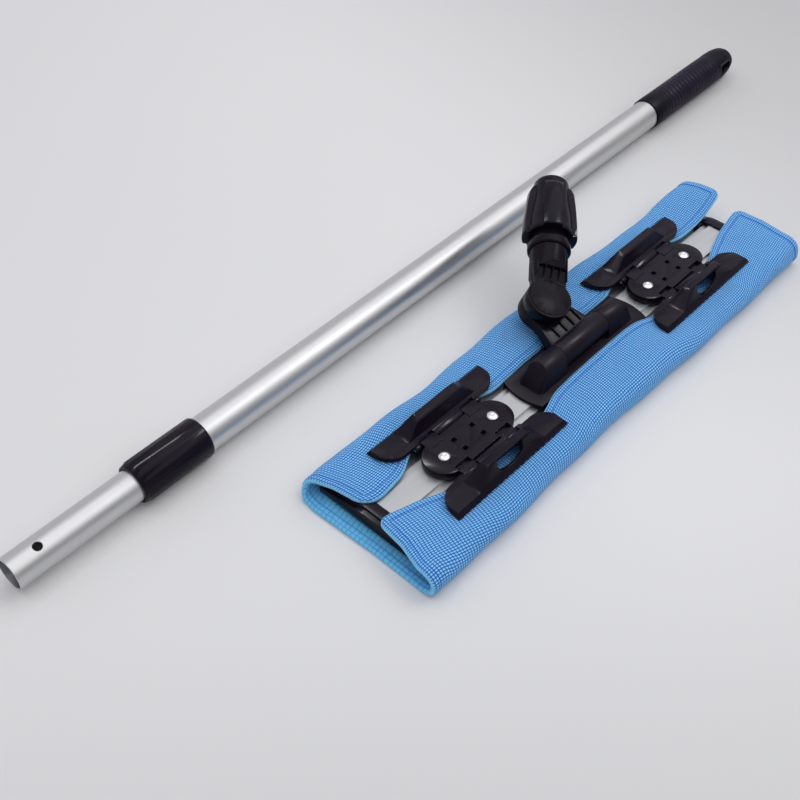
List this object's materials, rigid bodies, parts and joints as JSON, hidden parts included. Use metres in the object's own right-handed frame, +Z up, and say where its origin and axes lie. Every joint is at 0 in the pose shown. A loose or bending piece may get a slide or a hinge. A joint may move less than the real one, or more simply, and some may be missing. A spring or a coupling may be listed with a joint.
{
  "type": "flat mop",
  "caption": "Flat floor mop head with a microfibre cloth clipped round an aluminium plate, a swivelling pole socket on top, and its telescopic pole lying beside it.",
  "frame": {"origin": "middle of the cloth's flat underside on the floor, half-way between the two clips", "axes": "+X along the plate to its far end, +Y across the plate towards the pole, +Z up"},
  "size_m": [0.8911, 0.2292, 0.0894],
  "materials": {
    "aluminium": "satin",
    "steel": "polished",
    "black_plastic": "satin",
    "blue_cloth": "woven",
    "foam": "matte"
  },
  "bodies": {
    "head": {"base_plate": "aluminium", "end_cap_near": "black_plastic", "end_cap_far": "black_plastic", "foam_pad": "foam", "mop_cloth": "blue_cloth", "clip_base_near": "black_plastic", "clip_base_far": "black_plastic", "rivet_1": "steel", "rivet_2": "steel", "rivet_3": "steel", "rivet_4": "steel", "hinge_pin_near_left": "steel", "hinge_pin_near_right": "steel", "hinge_pin_far_left": "steel", "hinge_pin_far_right": "steel", "spring_near_left": "steel", "spring_near_right": "steel", "spring_far_left": "steel", "spring_far_right": "steel", "swivel_base": "black_plastic", "swivel_shaft": "steel", "base_screw_1": "steel", "base_screw_2": "steel", "base_screw_3": "steel", "base_screw_4": "steel"},
    "yoke": {"yoke": "black_plastic", "knuckle_bolt": "steel"},
    "neck": {"neck": "black_plastic", "collet": "black_plastic"},
    "lock_nut": {"lock_nut": "black_plastic"},
    "lever_near_left": {"lever_near_left": "black_plastic"},
    "lever_near_right": {"lever_near_right": "black_plastic"},
    "lever_far_left": {"lever_far_left": "black_plastic"},
    "lever_far_right": {"lever_far_right": "black_plastic"},
    "pole": {"outer_tube": "aluminium", "grip": "black_plastic", "clamp_ring": "black_plastic"},
    "pole_collar": {"twist_collar": "black_plastic"},
    "inner_pole": {"inner_tube": "aluminium", "guide_bush": "black_plastic"}
  },
  "joints": [
    {"name": "yoke_tilt", "type": "hinge", "parent": "head", "child": "yoke", "pos_m": [0.004, 0, 0.0295], "axis": [1, 0, 0], "range_deg": [-8, 138]},
    {"name": "neck_swing", "type": "hinge", "parent": "yoke", "child": "neck", "pos_m": [0.004, 0.03494, 0.04256], "axis": [0, -0.3502, 0.9367], "range_deg": [-14, 116]},
    {"name": "nut_turn", "type": "hinge", "parent": "neck", "child": "lock_nut", "pos_m": [0.004, 0.03298, 0.04781], "axis": [0.7771, 0.5895, 0.2204], "range_deg": [-150, 150]},
    {"name": "lever_near_left_open", "type": "hinge", "parent": "head", "child": "lever_near_left", "pos_m": [-0.1265, 0.0205, 0.0205], "axis": [1, 0, 0], "range_deg": [0, 28], "stiffness_Nm_per_rad": 0.3, "springref_deg": -20.05},
    {"name": "lever_near_right_open", "type": "hinge", "parent": "head", "child": "lever_near_right", "pos_m": [-0.1265, -0.0205, 0.0205], "axis": [-1, 0, 0], "range_deg": [0, 28], "stiffness_Nm_per_rad": 0.3, "springref_deg": -20.05},
    {"name": "lever_far_left_open", "type": "hinge", "parent": "head", "child": "lever_far_left", "pos_m": [0.1265, 0.0205, 0.0205], "axis": [1, 0, 0], "range_deg": [0, 28], "stiffness_Nm_per_rad": 0.3, "springref_deg": -20.05},
    {"name": "lever_far_right_open", "type": "hinge", "parent": "head", "child": "lever_far_right", "pos_m": [0.1265, -0.0205, 0.0205], "axis": [-1, 0, 0], "range_deg": [0, 28], "stiffness_Nm_per_rad": 0.3, "springref_deg": -20.05},
    {"name": "pole_lift", "type": "slide", "parent": "head", "child": "pole", "axis": [0, 0, 1], "range_m": [0, 0.3]},
    {"name": "collar_turn", "type": "hinge", "parent": "pole", "child": "pole_collar", "pos_m": [0, 0.14725, 0.01607], "axis": [0.9999, 0.0129, -0.0015], "range_deg": [-90, 0]},
    {"name": "pole_extend", "type": "slide", "parent": "pole", "child": "inner_pole", "axis": [-0.9999, -0.0129, 0.0015], "range_m": [-0.08, 0.5]}
  ]
}
